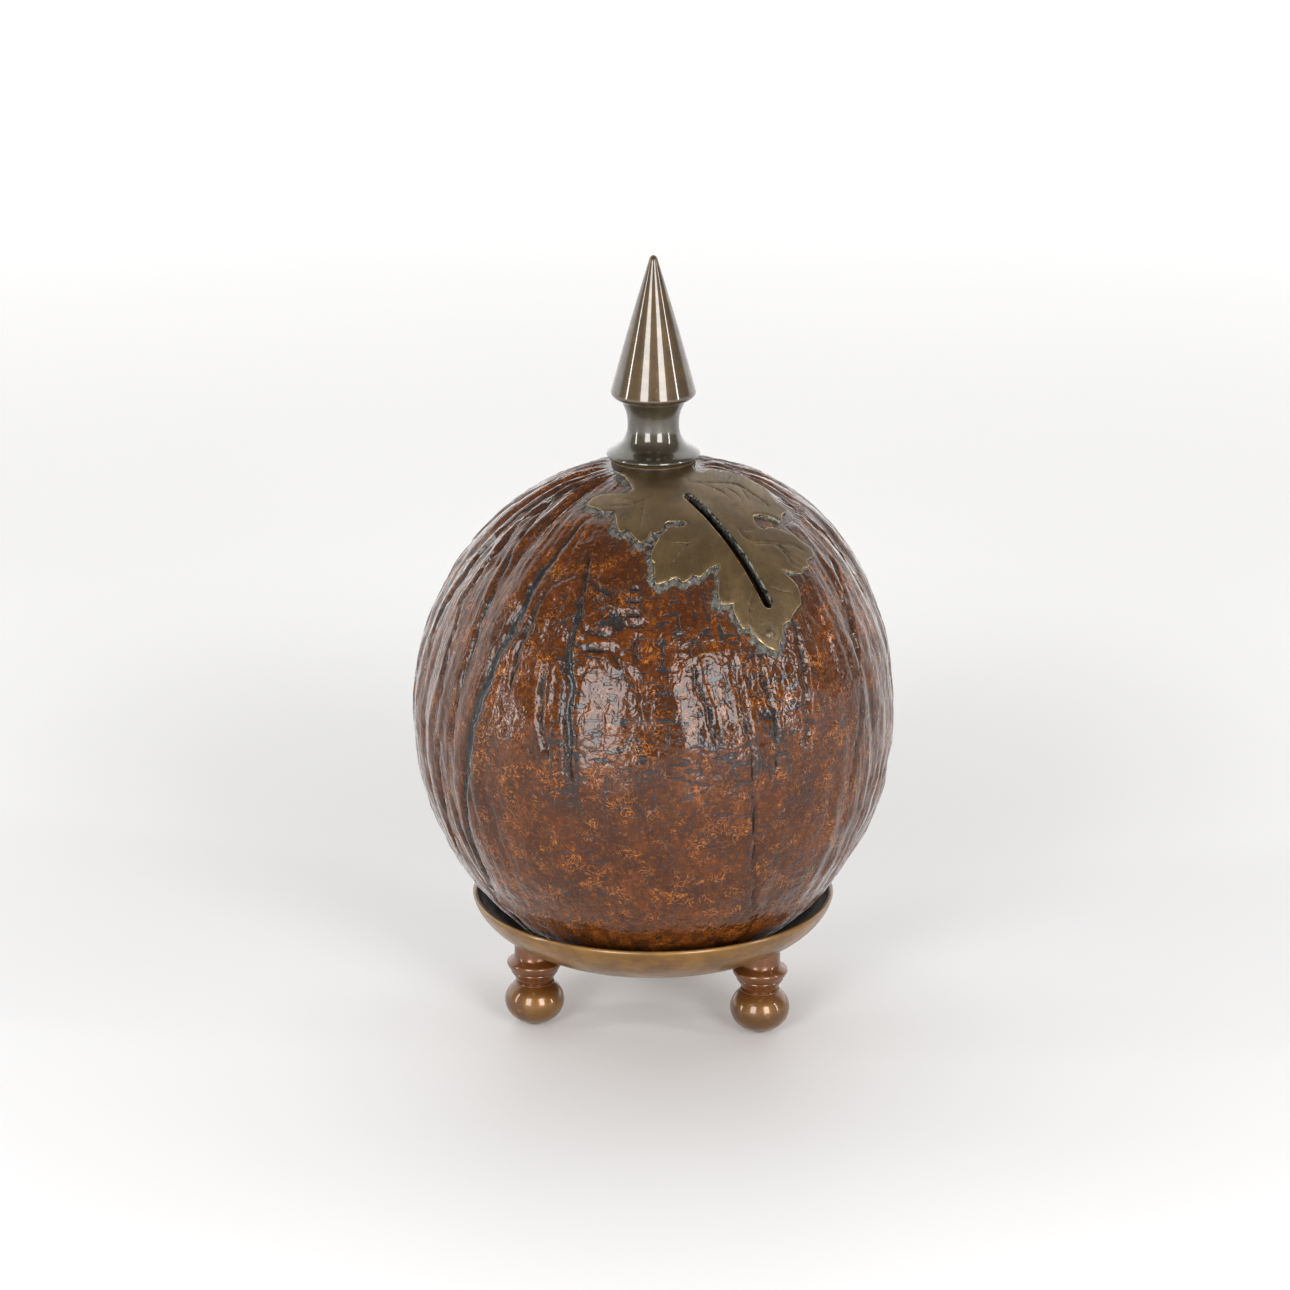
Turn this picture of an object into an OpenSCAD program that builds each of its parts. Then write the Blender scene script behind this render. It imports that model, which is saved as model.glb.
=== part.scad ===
// Money box made from a hollow woody nut: the nut stands in a footed brass dish, carries a brass
// vine leaf with the coin slot, and is clamped to the dish by a turned finial on a long tie rod.
// Millimetres, +Z up, origin on the table below the middle of the nut. -Y is the coin slot's side.

/* [Nut] */
// Width of the nut at its middle
nut_w = 120; // [112:1:126]
// Height of the nut above its middle
nut_top_h = 64; // [62:0.5:66]
// Radius of the rounded top of the nut
nut_top_r = 58; // [56:0.5:59]
// Depth of the nut below its middle, before its underside is cut flat
nut_bottom_h = 65.5; // [64:0.5:67]
// Radius of the rounded bottom of the nut
nut_bottom_r = 57.5; // [55:0.5:59]
// Thickness of the woody wall
nut_wall = 7; // [5:0.5:9]
// Height of the middle of the nut above the table
nut_z = 79.3; // [79:0.1:80]
// Radius of the hole in the underside, which the coins leave by
outlet_r = 19; // [14:0.5:19]

/* [Dish] */
// Radius of the dish at its rim
dish_r = 45.9; // [45:0.1:50]
// Radius of the flat floor of the dish
dish_floor_r = 22; // [21:0.5:24]
// Height of the underside of the dish above the table
dish_floor_z = 17.6; // [17.2:0.1:17.8]
// Height of the rim above the table
dish_rim_z = 31.3; // [30:0.1:33]
// Thickness of the floor and the wall
dish_wall = 1.4; // [1:0.1:1.6]

/* [Feet] */
// Distance of each foot from the middle of the dish
foot_ring_r = 33; // [30:0.5:35]
// Direction of the right foot, turned from +X towards +Y
foot_start = -35.5; // [-60:0.5:0]
// Radius of the ball of a foot
foot_ball_r = 7.5; // [6:0.1:8]
// Radius of the riveted end of a foot
foot_tenon_r = 2; // [1.5:0.1:2.5]

/* [Leaf] */
// Direction of the middle of the leaf, turned from -Y towards +X
leaf_turn = 30.8; // [-30:0.1:30]
// Angle between the axis of the nut and the middle of the leaf
leaf_lean = 38.2; // [36:0.1:42]
// Turn of the slot away from the meridian
leaf_roll = 10; // [0:0.1:20]
// Thickness of the leaf
leaf_t = 0.8; // [0.6:0.1:1]
// Thickness of the mastic that beds the leaf
bedding_t = 0.3; // [0.2:0.1:0.4]
// Length of the coin slot in the leaf
slot_l = 36.5; // [30:0.5:38]
// Width of the coin slot in the leaf
slot_w = 2.8; // [2.2:0.1:3.2]
// Width of the rougher slot through the wall of the nut
nut_slot_w = 3.8; // [3.4:0.1:4]

/* [Finial] */
// Radius of the tie rod
rod_r = 3; // [2.5:0.1:3.2]
// Radius of the base of the spire
spire_r = 10.5; // [9:0.1:12]
// Height of the spire
spire_h = 36.2; // [30:0.1:45]
// Radius of the flange of the spool
spool_r = 11.6; // [10:0.1:12]
// Height of the spool
spool_h = 14.5; // [14:0.1:16]
// Radius of the neck of the spool
spool_neck_r = 6.4; // [5:0.1:7]
// Radius of the ferrule's collar
collar_r = 10.4; // [9:0.1:11]

/* [Hidden] */
$fn = 96;

// Clearance of a running fit, on the radius
running = 0.05;
// More than any thickness that a cut has to pass
through = 60;

// Nut: centre of the sphere that its top is part of, and height of its flat underside
end_z = nut_z + nut_top_h - nut_top_r;
seat_t = 0.8;
shell_bottom_z = dish_floor_z + dish_wall + seat_t;

// Finial stack, from the collar up
collar_top_z = 144.7;
collar_seat_z = 142.4;
washer_t = 0.4;
spool_z = collar_top_z + washer_t;
spire_z = spool_z + spool_h;
spire_edge_rise = 1.7;
spool_top_r = spool_neck_r + 1.8;
ferrule_tube_r = 5;
ferrule_nut_r = 9;
ferrule_nut_t = 3;
ferrule_nut_z = end_z + sqrt(pow(nut_top_r - nut_wall, 2) - pow(ferrule_nut_r, 2))
    - ferrule_nut_t;

// Tie rod and the boss that it screws into
rod_bottom_z = 17;
rod_top_z = spire_z + 13;
boss_r = 7;
boss_h = 3.5;
boss_tenon_r = 4.5;
boss_ring_r = 7.5;
boss_ring_t = 0.8;

// Feet: heights of the turned profile above the table
foot_ball_h = 12.4;
foot_flat_r = 2.2;
foot_step = 120;

// Leaf outline, across and up the leaf, with +Y towards the finial
LEAF = [
    [7, 36], [-5, 34], [-6, 32], [-9, 26.3], [-12.5, 28], [-15.7, 30], [-19, 29], [-18.4, 26],
    [-18.6, 24.5], [-17.3, 22.5], [-17.8, 21], [-19.6, 18], [-20, 16.3], [-18.6, 15.5],
    [-18.8, 11], [-17.3, 10.6], [-14.7, 11.7], [-13.8, 10.8], [-12.3, 11], [-10.7, 12.2],
    [-9, 12.2], [-7, 11], [-6.2, 9.8], [-7.4, 9.4], [-9, 10.4], [-10.5, 10.9], [-12.3, 10.1],
    [-14, 9.6], [-16.5, 8], [-18, 7], [-19.4, 5.2], [-19.3, 4], [-20.6, 2], [-22, -1],
    [-20, -1.7], [-17, -2.3], [-16.5, -4], [-13.7, -3.8], [-12.4, -4.7], [-10.7, -4.3],
    [-8.2, -3.8], [-6.4, -4], [-6.8, -5], [-8.3, -6], [-9, -8], [-10.4, -10], [-11.3, -12.5],
    [-10, -13.6], [-8.5, -14], [-9.2, -15.8], [-9, -20], [-7.4, -20.2], [-7, -22.3],
    [-5.6, -25], [-2.8, -27.5], [-1.6, -26.4], [0.2, -24.7], [1.5, -22.8], [4, -22.3],
    [6, -21], [8.4, -19.8], [9.2, -19.4], [10.3, -17.2], [10.6, -15.2], [10, -13.5],
    [8.5, -10.6], [10, -11.4], [13.7, -12.7], [15.4, -11.3], [17.2, -11.3], [17.7, -9.7],
    [20.6, -8.8], [21.5, -7.2], [20.9, -5.8], [19.6, -4.2], [18.7, -2.6], [16.6, -1],
    [13.5, 0.9], [10.6, 1.2], [10.3, 3.8], [11.6, 5.5], [14.3, 4.7], [16.6, 3.3], [17.8, 2],
    [20, 4], [22, 4.8], [22.5, 6], [21.6, 8], [22.2, 11.2], [22.7, 12.8], [22, 14.2],
    [20.8, 16], [20.2, 18.3], [18.6, 20.3], [17.3, 22], [15, 22.5], [14.5, 24], [12.4, 24],
    [10, 23.6], [9.7, 25.3], [12, 28.5], [13, 32]
];
// Pin near the tip of the leaf, in the same directions
PIN = [-2.8, -23.5];
pin_head_r = 1.2;
pin_head_t = 0.4;
pin_r = 0.6;
pin_l = 5.5;

// Points of an arc, leaving out its first one so that arcs can be joined
function arc_after(x, y, r, from, to, n) =
    [for (i = [1:n]) let (a = from + (to - from) * i / n) [x + r * cos(a), y + r * sin(a)]];

// Curve of the dish from its flat floor up to its rim
function dish_curve(reach, rise) =
    [for (i = [0:24]) let (a = i * 90 / 24) [reach * sin(a), rise * (1 - pow(cos(a), 1.2))]];

// Straight slot with round ends
module slot_2d(length, width) {
    end = length / 2 - width / 2;
    polygon(concat(
        arc_after(0, end, width / 2, -15, 180, 13),
        arc_after(0, -end, width / 2, 165, 360, 13)
    ));
}

// Places children with +Z along the nut's surface normal at the middle of the leaf
module at_leaf() {
    translate([0, 0, end_z]) rotate([0, 0, leaf_turn]) rotate([leaf_lean, 0, 0])
        rotate([0, 0, leaf_roll]) children();
}

// Upper right quarter of an oval as wide as the nut: a belly arc that runs into the end arc
module nut_quarter(half_h, end_r, inset) {
    half_w = nut_w / 2;
    rise = half_h - end_r;
    belly_r = (pow(half_w, 2) + pow(rise, 2) - pow(end_r, 2)) / (2 * (half_w - end_r));
    join_h = rise + (end_r - inset) * sin(atan(rise / (belly_r - half_w)));
    intersection() {
        translate([half_w - belly_r, 0]) circle(r = belly_r - inset);
        square([through * 2, join_h]);
    }
    intersection() {
        translate([0, rise]) circle(r = end_r - inset);
        translate([0, join_h]) square([through * 2, through]);
    }
}

// The whole nut, taken in by a wall thickness or let out by less than nothing
module nut_solid(inset) {
    translate([0, 0, nut_z]) rotate_extrude() {
        nut_quarter(nut_top_h, nut_top_r, inset);
        mirror([0, 1]) nut_quarter(nut_bottom_h, nut_bottom_r, inset);
    }
}

module dish_blank(inset) {
    floor_z = dish_floor_z + inset;
    rise = dish_rim_z - floor_z;
    curve = dish_curve(dish_r - dish_floor_r - inset, rise);
    lid = inset > 0 ? 10 : 0;
    rotate_extrude() polygon(concat(
        [[0, floor_z]],
        [for (p = curve) [dish_floor_r + p[0], floor_z + p[1]]],
        [[dish_r - inset, dish_rim_z + lid], [0, dish_rim_z + lid]]
    ));
}

module at_feet() {
    for (i = [0:2]) rotate([0, 0, foot_start + i * foot_step]) translate([foot_ring_r, 0, 0])
        children();
}

module tenon() {
    cylinder(r = foot_tenon_r, h = through);
}

module base_dish() {
    color("darkgoldenrod") difference() {
        dish_blank(0);
        dish_blank(dish_wall);
        at_feet() tenon();
        translate([0, 0, dish_floor_z - 1]) cylinder(r = boss_tenon_r, h = dish_wall + 2);
    }
}

// Turned foot: squashed ball, groove, flared ring, bead and neck, with the tenon riveted flush
module foot(index) {
    half_h = foot_ball_h / 2;
    start = -acos(foot_flat_r / foot_ball_r);
    turned = concat(
        [[0, 0], [foot_flat_r, 0]],
        [for (a = [start + 6:8:50]) [foot_ball_r * cos(a), half_h + half_h * sin(a)]],
        [[4.6, 11.1], [4.6, 11.6], [5.7, 14.1], [5.7, 14.5], [5.4, 14.9], [6.8, 16.4],
         [7, 16.8], [6.8, 17.2], [5.4, 18.4], [5.1, 19], [5.1, 30], [0, 30]]
    );
    color("darkgoldenrod") difference() {
        rotate([0, 0, foot_start + index * foot_step]) translate([foot_ring_r, 0, 0])
            rotate_extrude() polygon(turned);
        difference() {
            dish_blank(0);
            at_feet() tenon();
        }
        dish_blank(dish_wall);
    }
}

// Threaded boss in the floor of the dish, with its lower end fitting the ring below
module base_boss() {
    floor_top = dish_floor_z + dish_wall;
    color("goldenrod") rotate_extrude() polygon([
        [rod_r + running, dish_floor_z - boss_ring_t], [boss_tenon_r, dish_floor_z - boss_ring_t],
        [boss_tenon_r, floor_top], [boss_r, floor_top], [boss_r, floor_top + boss_h - 0.6],
        [boss_r - 0.6, floor_top + boss_h], [rod_r + 0.6, floor_top + boss_h],
        [rod_r + running, floor_top + boss_h - 0.6]
    ]);
}

module boss_ring() {
    color("goldenrod") translate([0, 0, dish_floor_z - boss_ring_t]) difference() {
        cylinder(r = boss_ring_r, h = boss_ring_t);
        translate([0, 0, -1]) cylinder(r = boss_tenon_r, h = boss_ring_t + 2);
    }
}

// Leather ring that the nut stands on
module seat_ring() {
    color("saddlebrown") translate([0, 0, dish_floor_z + dish_wall]) difference() {
        cylinder(r = dish_floor_r, h = seat_t);
        translate([0, 0, -1]) cylinder(r = outlet_r - 0.5, h = seat_t + 2);
    }
}

module shell() {
    color("sienna") difference() {
        nut_solid(0);
        nut_solid(nut_wall);
        translate([0, 0, shell_bottom_z - through]) cylinder(r = nut_w, h = through);
        translate([0, 0, shell_bottom_z - 1]) cylinder(r = outlet_r, h = nut_wall + 8);
        translate([0, 0, collar_seat_z]) cylinder(r = collar_r, h = through);
        translate([0, 0, end_z]) cylinder(r = ferrule_tube_r, h = through + 10);
        at_leaf() linear_extrude(height = through + 10) slot_2d(slot_l + 1, nut_slot_w);
        pin();
    }
}

// Collar under the finial, with the threaded tube that holds it in the nut
module ferrule() {
    color("darkgoldenrod") rotate_extrude() polygon([
        [rod_r + running, ferrule_nut_z - 1], [ferrule_tube_r, ferrule_nut_z - 1],
        [ferrule_tube_r, collar_seat_z], [collar_r, collar_seat_z],
        [collar_r, collar_top_z - 0.4], [collar_r - 0.4, collar_top_z],
        [rod_r + running, collar_top_z]
    ]);
}

module ferrule_nut() {
    color("goldenrod") translate([0, 0, ferrule_nut_z]) difference() {
        cylinder(r = ferrule_nut_r, h = ferrule_nut_t);
        translate([0, 0, -1]) cylinder(r = ferrule_tube_r, h = ferrule_nut_t + 2);
        for (side = [0, 180]) rotate([0, 0, side]) translate([7, -1, -1])
            cube([4, 2, ferrule_nut_t + 2]);
    }
}

// A layer over the nut, cut to the leaf's outline
module leaf_layer(from, to, spread) {
    difference() {
        intersection() {
            nut_solid(-to);
            at_leaf() translate([0, 0, nut_top_r * 0.6]) linear_extrude(height = through)
                difference() {
                    scale(spread) polygon(LEAF);
                    slot_2d(slot_l, slot_w);
                }
        }
        nut_solid(-from);
        cylinder(r = collar_r, h = 200);
        pin();
    }
}

module leaf_plate() {
    color("olivedrab") leaf_layer(bedding_t, bedding_t + leaf_t, 1);
}

module leaf_bedding() {
    color("dimgray") leaf_layer(0, bedding_t, 1.04);
}

// Round-headed pin, with its head let slightly into the leaf
module pin() {
    head_z = nut_top_r + bedding_t + leaf_t;
    at_leaf() rotate([-asin(PIN[1] / head_z), 0, 0]) rotate([0, asin(PIN[0] / head_z), 0])
        translate([0, 0, head_z]) {
            translate([0, 0, -pin_l]) cylinder(r = pin_r, h = pin_l);
            cylinder(r1 = pin_head_r, r2 = pin_head_r - 0.4, h = pin_head_t);
        }
}

module leaf_pin() {
    color("gold") pin();
}

module finial_washer() {
    color("saddlebrown") translate([0, 0, collar_top_z]) difference() {
        cylinder(r = collar_r - 0.6, h = washer_t);
        translate([0, 0, -1]) cylinder(r = rod_r + 0.1, h = washer_t + 2);
    }
}

module finial_spool() {
    neck = spool_neck_r;
    color("gray") translate([0, 0, spool_z]) rotate_extrude() polygon([
        [rod_r, 0], [spool_r - 0.5, 0], [spool_r, 0.4], [spool_r, 0.8], [spool_r - 0.4, 1.2],
        [spool_r - 1.4, 1.8], [neck + 2.4, 2.7], [neck + 1.2, 3.8], [neck + 0.5, 5],
        [neck + 0.1, 6.5], [neck, 8.2], [neck + 0.1, 10], [neck + 0.5, 11.6],
        [neck + 1.2, 13.2], [spool_top_r, spool_h], [rod_r, spool_h]
    ]);
}

// Straight cone with a rounded tip and an undercut edge
module finial_spire() {
    tip_r = 1;
    color("peru") translate([0, 0, spire_z]) difference() {
        rotate_extrude() polygon([
            [0, 0], [spool_top_r, 0], [spire_r - 0.9, spire_edge_rise * 0.35],
            [spire_r - 0.1, spire_edge_rise * 0.8], [spire_r, spire_edge_rise + 0.3],
            [spire_r - 0.3, spire_edge_rise + 1.2], [tip_r, spire_h - tip_r],
            [tip_r * 0.7, spire_h - tip_r * 0.3], [0, spire_h]
        ]);
        translate([0, 0, -1]) cylinder(r = rod_r, h = rod_top_z - spire_z + 1);
    }
}

module tie_rod() {
    color("silver") translate([0, 0, rod_bottom_z])
        cylinder(r = rod_r, h = rod_top_z - rod_bottom_z);
}

base_dish();
foot(0);  // foot_right
foot(1);  // foot_rear
foot(2);  // foot_left
base_boss();
boss_ring();
seat_ring();
shell();
ferrule();
ferrule_nut();
leaf_plate();
leaf_bedding();
leaf_pin();
finial_washer();
finial_spool();
finial_spire();
tie_rod();
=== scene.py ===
import math

import bpy
import numpy as np
from mathutils import Matrix, Vector
from mathutils.geometry import delaunay_2d_cdt


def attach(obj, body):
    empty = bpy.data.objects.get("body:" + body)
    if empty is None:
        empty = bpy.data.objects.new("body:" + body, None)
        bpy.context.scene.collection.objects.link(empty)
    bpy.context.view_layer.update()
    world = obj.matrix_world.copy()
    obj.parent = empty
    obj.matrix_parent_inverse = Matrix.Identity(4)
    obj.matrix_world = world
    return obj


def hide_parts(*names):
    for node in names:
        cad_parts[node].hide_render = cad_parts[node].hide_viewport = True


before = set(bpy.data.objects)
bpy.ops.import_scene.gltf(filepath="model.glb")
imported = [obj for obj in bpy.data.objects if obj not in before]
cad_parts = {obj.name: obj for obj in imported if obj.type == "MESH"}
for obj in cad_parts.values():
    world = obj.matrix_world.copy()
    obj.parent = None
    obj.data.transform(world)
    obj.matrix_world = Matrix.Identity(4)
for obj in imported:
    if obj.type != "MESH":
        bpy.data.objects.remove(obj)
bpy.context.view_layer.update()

# ---- sizes, in mm, as in the CAD

MM = 0.001
SEED = 7

NUT_MIDDLE_Z = 79.3
CROWN_R, CROWN_Z = 58.0, 85.3
HEEL_R, HEEL_Z = 57.5, 71.3
# The nut's section: lowest normal elevation, arc centre (radius, height) and arc radius
NUT_ARCS = (
    (math.radians(36.87), 0.0, CROWN_Z, CROWN_R),
    (0.0, -8.0, NUT_MIDDLE_Z, 68.0),
    (math.radians(-34.7), -11.55, NUT_MIDDLE_Z, 71.55),
    (-math.pi / 2, 0.0, HEEL_Z, HEEL_R),
)
NUT_WALL = 7.0
NUT_TOP_Z = 142.3
NUT_BOTTOM_Z = 19.8
TUBE_R = 5.0
OUTLET_R = 19.0
COLLAR_R = 10.4
# The skin rolled out flat: radius round the axis, and mm of length per radian of elevation
SKIN_R, SKIN_RISE = 60.0, 62.0

LEAF_TURN, LEAF_LEAN, LEAF_ROLL = 30.8, 38.2, 10.0
SLOT_L, SLOT_W, NUT_SLOT_W = 36.5, 2.8, 3.8
LEAF_TOP_H, LEAF_UNDER_H, MASTIC_UNDER_H = 1.1, 0.28, -2.0
LEAF_OUTLINE = (
    (7, 36), (-5, 34), (-6, 32), (-9, 26.3), (-12.5, 28), (-15.7, 30), (-19, 29), (-18.4, 26),
    (-18.6, 24.5), (-17.3, 22.5), (-17.8, 21), (-19.6, 18), (-20, 16.3), (-18.6, 15.5),
    (-18.8, 11), (-17.3, 10.6), (-14.7, 11.7), (-13.8, 10.8), (-12.3, 11), (-10.7, 12.2),
    (-9, 12.2), (-7, 11), (-6.2, 9.8), (-7.4, 9.4), (-9, 10.4), (-10.5, 10.9), (-12.3, 10.1),
    (-14, 9.6), (-16.5, 8), (-18, 7), (-19.4, 5.2), (-19.3, 4), (-20.6, 2), (-22, -1),
    (-20, -1.7), (-17, -2.3), (-16.5, -4), (-13.7, -3.8), (-12.4, -4.7), (-10.7, -4.3),
    (-8.2, -3.8), (-6.4, -4), (-6.8, -5), (-8.3, -6), (-9, -8), (-10.4, -10), (-11.3, -12.5),
    (-10, -13.6), (-8.5, -14), (-9.2, -15.8), (-9, -20), (-7.4, -20.2), (-7, -22.3),
    (-5.6, -25), (-2.8, -27.5), (-1.6, -26.4), (0.2, -24.7), (1.5, -22.8), (4, -22.3),
    (6, -21), (8.4, -19.8), (9.2, -19.4), (10.3, -17.2), (10.6, -15.2), (10, -13.5),
    (8.5, -10.6), (10, -11.4), (13.7, -12.7), (15.4, -11.3), (17.2, -11.3), (17.7, -9.7),
    (20.6, -8.8), (21.5, -7.2), (20.9, -5.8), (19.6, -4.2), (18.7, -2.6), (16.6, -1),
    (13.5, 0.9), (10.6, 1.2), (10.3, 3.8), (11.6, 5.5), (14.3, 4.7), (16.6, 3.3), (17.8, 2),
    (20, 4), (22, 4.8), (22.5, 6), (21.6, 8), (22.2, 11.2), (22.7, 12.8), (22, 14.2),
    (20.8, 16), (20.2, 18.3), (18.6, 20.3), (17.3, 22), (15, 22.5), (14.5, 24), (12.4, 24),
    (10, 23.6), (9.7, 25.3), (12, 28.5), (13, 32),
)
PIN = (-2.8, -23.5)
# Engraved veins: depth, then points
VEINS = (
    (0.30, ((4.4, 21), (9.4, 18.7), (13.3, 17.2), (15.5, 15.5), (16.5, 11.8), (17.6, 8.3),
            (17.4, 6.6))),
    (0.24, ((11.2, 15.6), (12.1, 13), (11.6, 10.9))),
    (0.24, ((15.5, 15.1), (13.5, 10.4))),
    (0.30, ((4.3, 2.9), (4.3, 0.4), (5.7, -1.9), (8.8, -3), (11.8, -4.3), (12.4, -7),
            (12.4, -9.8), (14.8, -11.7))),
    (0.26, ((11.4, -3.9), (15.9, -5.2), (18.5, -7.3))),
    (0.24, ((11.6, -4.5), (12.7, -7.6), (15.5, -10.2))),
    (0.22, ((5.5, 1.9), (8, 1.8))),
    (0.18, ((6, 20.4), (8.8, 15.4), (9, 11.6))),
    (0.18, ((12.4, 17.4), (16.4, 19.6))),
    (0.14, ((-4.6, 22), (-9, 21.6), (-13.6, 22.4), (-17, 25.2))),
    (0.14, ((-9, 21.6), (-13.4, 17.4), (-16.6, 13.8))),
    (0.12, ((-10.4, 21.8), (-12.8, 25.6))),
    (0.14, ((-4.2, 5.4), (-8.6, 4.4), (-13.4, 2.8), (-18.6, -0.2))),
    (0.12, ((-9.4, 4.2), (-13.2, 6.6))),
    (0.12, ((-10.4, 3.8), (-12.8, -1.6))),
    (0.14, ((-2.6, -13.6), (-5.2, -16.6), (-6.6, -20))),
    (0.12, ((2.8, -13.6), (5.4, -15.6), (8.4, -16.6))),
)

# Cracks: half width, then (azimuth from -Y towards +X, elevation of the normal) in degrees
CRACKS = (
    (0.85, ((-33, 61), (-36.5, 56), (-38, 47), (-40, 42), (-41, 35), (-42, 29), (-44, 22),
            (-45, 17), (-47, 10), (-49, 2), (-50, -5), (-53, -14), (-53, -22), (-53, -28),
            (-59, -38))),
    (0.35, ((-28, 44), (-34, 40), (-36, 35), (-36, 31), (-37, 27), (-38, 23), (-38, 17))),
    (0.25, ((-41, 28), (-38, 29), (-38, 31))),
    (0.66, ((-24, 49), (-23, 42), (-22, 36), (-23, 31), (-23, 26), (-21, 20), (-21, 14),
            (-20, 8), (-20, 3), (-19, -4))),
    (0.30, ((-21, 43), (-17, 41), (-12, 39))),
    (0.90, ((-11, 36), (-10, 32))),
    (0.28, ((-29, 23), (-29, 18), (-27, 9), (-26, 6))),
    (0.35, ((-60, 76), (-69, 62), (-63, 55), (-59, 48), (-57, 40), (-55, 34), (-55, 28),
            (-54, 21), (-55, 15), (-55, 10), (-56, 2))),
    (0.22, ((-67, 35), (-67, 30), (-64, 24), (-64, 18), (-63, 10))),
    (0.25, ((-62, 1), (-63, -8), (-64, -16), (-65, -24), (-72, -37))),
    (0.10, ((60, 52), (71, 52), (88, 52))),
    (0.35, ((42, 30), (41, 24), (40, 18), (39, 10), (38, 2))),
    (0.25, ((71, 39), (70, 35), (68, 31), (64, 25), (62, 19), (60, 13), (58, 7), (55, -2),
            (54, -8))),
    (0.30, ((11, 25), (11, 21), (13, 16), (15, 8), (15, 2))),
    (0.16, ((21, 26), (21, 21), (22, 13), (23, 5), (23, 0), (24, -8), (25, -17), (29, -31))),
    (0.28, ((29, 28), (28, 20), (30, 12), (30, 7), (30, 2))),
    (0.28, ((-20, 26), (-18, 27), (-14, 28), (-11, 28), (-9, 25))),
    (0.32, ((-5, 31), (-5, 26))),
    (0.25, ((-20, 32), (-15, 31), (-10, 31))),
    (0.30, ((-9, 33.5), (-3, 33))),
    (0.28, ((-8, 38.5), (-4, 38.5))),
    (0.26, ((-7, 41.5), (-3.5, 41))),
    (0.26, ((-8, 35.5), (-3.5, 35.5))),
)

# ---- numbers and noise


def soft_step(low, high, value):
    """0 below low, 1 above high, smooth between."""
    t = np.clip((value - low) / (high - low), 0, 1)
    return t * t * (3 - 2 * t)


class Noise:
    """Gradient noise on 3-D points, about -0.5 to 0.5, the same on each run."""

    def __init__(self, seed):
        draws = np.random.default_rng(seed)
        gradients = draws.normal(size=(256, 3))
        self.gradients = gradients / np.linalg.norm(gradients, axis=1, keepdims=True)
        self.order = np.tile(draws.permutation(256), 2)

    def at(self, points):
        cell = np.floor(points).astype(int)
        inside = points - cell
        fade = inside**3 * (inside * (inside * 6 - 15) + 10)
        cell &= 255
        total = np.zeros(len(points))
        for corner in range(8):
            step = np.array([corner & 1, corner >> 1 & 1, corner >> 2 & 1])
            at = cell + step
            pick = self.order[self.order[self.order[at[:, 0] & 255] + (at[:, 1] & 255)]
                              + (at[:, 2] & 255)]
            value = np.einsum("ij,ij->i", self.gradients[pick], inside - step)
            weight = np.prod(np.where(step, fade, 1 - fade), axis=1)
            total += weight * value
        return total

    def layers(self, points, count, gain):
        """Noise on noise, each layer half the size of the last and gain times as strong."""
        total = np.zeros(len(points))
        for i in range(count):
            total += gain**i * self.at(points * 2**i + 17.3 * i)
        return total


noise = Noise(SEED)


def polyline_distance(points, line, closed=False):
    """Distance of each point to a polyline, and how far along it (0 to 1) the nearest place is."""
    line = np.asarray(line, float)
    ends = np.roll(line, -1, axis=0) if closed else line[1:]
    starts = line if closed else line[:-1]
    best = np.full(len(points), np.inf)
    along = np.zeros(len(points))
    for i, (a, b) in enumerate(zip(starts, ends)):
        span = b - a
        t = np.clip((points - a) @ span / max(span @ span, 1e-9), 0, 1)
        distance = np.linalg.norm(points - a - t[:, None] * span, axis=1)
        nearer = distance < best
        best[nearer] = distance[nearer]
        along[nearer] = (i + t[nearer]) / len(starts)
    return best, along


def inside_polygon(points, polygon):
    x, y = points[:, 0], points[:, 1]
    inside = np.zeros(len(points), bool)
    for (x1, y1), (x2, y2) in zip(polygon, np.roll(polygon, -1, axis=0)):
        crosses = (y1 > y) != (y2 > y)
        with np.errstate(divide="ignore", invalid="ignore"):
            at = (x2 - x1) * (y - y1) / (y2 - y1) + x1
        inside ^= crosses & (x < at)
    return inside


def signed_distance(points, polygon):
    """Distance to a polygon's outline, below 0 inside."""
    distance, _ = polyline_distance(points, polygon, closed=True)
    return np.where(inside_polygon(points, polygon), -distance, distance)


def catmull(a, b, c, d, t):
    """Place t (0 to 1) from b to c on the smooth curve through four points."""
    return 0.5 * (2 * b + (c - a) * t + (2 * a - 5 * b + 4 * c - d) * t**2
                  + (3 * b - a - 3 * c + d) * t**3)


def smooth_closed(points, step):
    """Smooth curve through a closed list of points, with a point about every step."""
    p = np.asarray(points, float)
    out = []
    for a, b, c, d in zip(np.roll(p, 1, 0), p, np.roll(p, -1, 0), np.roll(p, -2, 0)):
        count = max(1, round(np.linalg.norm(c - b) / step))
        out += [catmull(a, b, c, d, t) for t in np.arange(count) / count]
    return np.array(out)


def smooth_open(points):
    """Smooth curve through an open list of points, in five steps from one to the next."""
    p = np.asarray(points, float)
    p = np.vstack([2 * p[0] - p[1], p, 2 * p[-1] - p[-2]])
    out = []
    for a, b, c, d in zip(p[:-3], p[1:-2], p[2:-1], p[3:]):
        out += [tuple(catmull(a, b, c, d, t)) for t in np.arange(5) / 5]
    return out + [tuple(p[-2])]


def raised(flat):
    """Flat points as 3-D points at height 0."""
    return np.column_stack([flat, np.zeros(len(flat))])


# ---- the nut's surface


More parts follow.
